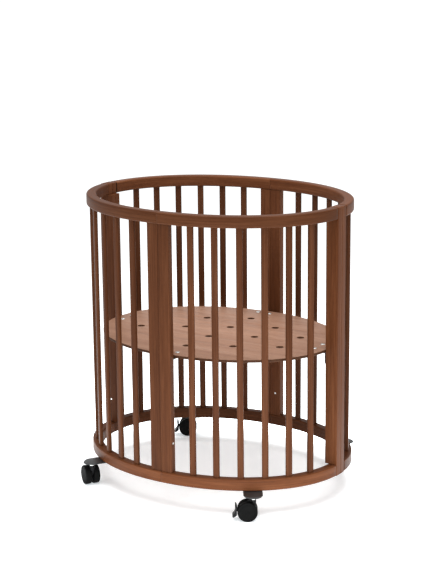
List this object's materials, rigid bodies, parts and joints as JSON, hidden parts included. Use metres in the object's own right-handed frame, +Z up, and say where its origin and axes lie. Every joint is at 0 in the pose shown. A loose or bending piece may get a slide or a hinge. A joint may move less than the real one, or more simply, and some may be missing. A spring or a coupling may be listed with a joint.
{
  "type": "baby crib",
  "caption": "Oval baby crib of curved slatted wood panels on swivel casters, with a perforated mattress base.",
  "frame": {"origin": "on the floor, under the middle of the crib", "axes": "+X along the oval's long axis, +Y along its short axis towards the back, +Z up"},
  "size_m": [0.8124, 0.647, 0.856],
  "materials": {
    "walnut_stain": "satin brown stain",
    "walnut_board": "satin lighter brown board",
    "dark_steel": "dark painted steel",
    "grey_plastic": "dark grey, slightly glossy",
    "black_plastic": "matt black",
    "black_rubber": "matt black tread"
  },
  "bodies": {
    "crib": {"top_rail_front_right": "walnut_stain", "bottom_rail_front_right": "walnut_stain", "side_post_front_right": "walnut_stain", "end_post_front_right": "walnut_stain", "slat_front_right_1": "walnut_stain", "slat_front_right_2": "walnut_stain", "slat_front_right_3": "walnut_stain", "slat_front_right_4": "walnut_stain", "slat_front_right_5": "walnut_stain", "slat_front_right_6": "walnut_stain", "top_rail_back_right": "walnut_stain", "bottom_rail_back_right": "walnut_stain", "side_post_back_right": "walnut_stain", "end_post_back_right": "walnut_stain", "slat_back_right_1": "walnut_stain", "slat_back_right_2": "walnut_stain", "slat_back_right_3": "walnut_stain", "slat_back_right_4": "walnut_stain", "slat_back_right_5": "walnut_stain", "slat_back_right_6": "walnut_stain", "top_rail_back_left": "walnut_stain", "bottom_rail_back_left": "walnut_stain", "side_post_back_left": "walnut_stain", "end_post_back_left": "walnut_stain", "slat_back_left_1": "walnut_stain", "slat_back_left_2": "walnut_stain", "slat_back_left_3": "walnut_stain", "slat_back_left_4": "walnut_stain", "slat_back_left_5": "walnut_stain", "slat_back_left_6": "walnut_stain", "top_rail_front_left": "walnut_stain", "bottom_rail_front_left": "walnut_stain", "side_post_front_left": "walnut_stain", "end_post_front_left": "walnut_stain", "slat_front_left_1": "walnut_stain", "slat_front_left_2": "walnut_stain", "slat_front_left_3": "walnut_stain", "slat_front_left_4": "walnut_stain", "slat_front_left_5": "walnut_stain", "slat_front_left_6": "walnut_stain", "mattress_base": "walnut_board", "base_bracket_right": "dark_steel", "base_bracket_back": "dark_steel", "base_bracket_left": "dark_steel", "base_bracket_front": "dark_steel", "caster_plate_front_right": "grey_plastic", "caster_plate_back_right": "grey_plastic", "caster_plate_back_left": "grey_plastic", "caster_plate_front_left": "grey_plastic"},
    "swivel_front_right": {"caster_housing_front_right": "black_plastic"},
    "wheels_front_right": {"caster_wheels_front_right": "black_rubber"},
    "brake_front_right": {"caster_brake_front_right": "black_plastic"},
    "swivel_back_right": {"caster_housing_back_right": "black_plastic"},
    "wheels_back_right": {"caster_wheels_back_right": "black_rubber"},
    "swivel_back_left": {"caster_housing_back_left": "black_plastic"},
    "wheels_back_left": {"caster_wheels_back_left": "black_rubber"},
    "brake_back_left": {"caster_brake_back_left": "black_plastic"},
    "swivel_front_left": {"caster_housing_front_left": "black_plastic"},
    "wheels_front_left": {"caster_wheels_front_left": "black_rubber"}
  },
  "joints": [
    {"name": "swivel_front_right", "type": "hinge", "parent": "crib", "child": "swivel_front_right", "pos_m": [0.27785, -0.27402, 0.0585], "axis": [0, 0, 1], "continuous": true},
    {"name": "roll_front_right", "type": "hinge", "parent": "swivel_front_right", "child": "wheels_front_right", "pos_m": [0.26428, -0.2825, 0.0285], "axis": [0.5299, -0.848, 0], "continuous": true},
    {"name": "brake_front_right", "type": "hinge", "parent": "swivel_front_right", "child": "brake_front_right", "pos_m": [0.24647, -0.29363, 0.031], "axis": [-0.5299, 0.848, 0], "range_deg": [0, 12]},
    {"name": "swivel_back_right", "type": "hinge", "parent": "crib", "child": "swivel_back_right", "pos_m": [0.27785, 0.27402, 0.0585], "axis": [0, 0, 1], "continuous": true},
    {"name": "roll_back_right", "type": "hinge", "parent": "swivel_back_right", "child": "wheels_back_right", "pos_m": [0.26596, 0.26331, 0.0285], "axis": [0.6691, -0.7431, 0], "continuous": true},
    {"name": "swivel_back_left", "type": "hinge", "parent": "crib", "child": "swivel_back_left", "pos_m": [-0.27785, 0.27402, 0.0585], "axis": [0, 0, 1], "continuous": true},
    {"name": "roll_back_left", "type": "hinge", "parent": "swivel_back_left", "child": "wheels_back_left", "pos_m": [-0.29142, 0.26554, 0.0285], "axis": [0.5299, -0.848, 0], "continuous": true},
    {"name": "brake_back_left", "type": "hinge", "parent": "swivel_back_left", "child": "brake_back_left", "pos_m": [-0.30923, 0.25441, 0.031], "axis": [-0.5299, 0.848, 0], "range_deg": [0, 12]},
    {"name": "swivel_front_left", "type": "hinge", "parent": "crib", "child": "swivel_front_left", "pos_m": [-0.27785, -0.27402, 0.0585], "axis": [0, 0, 1], "continuous": true},
    {"name": "roll_front_left", "type": "hinge", "parent": "swivel_front_left", "child": "wheels_front_left", "pos_m": [-0.29096, -0.26484, 0.0285], "axis": [-0.5736, -0.8192, 0], "continuous": true}
  ]
}
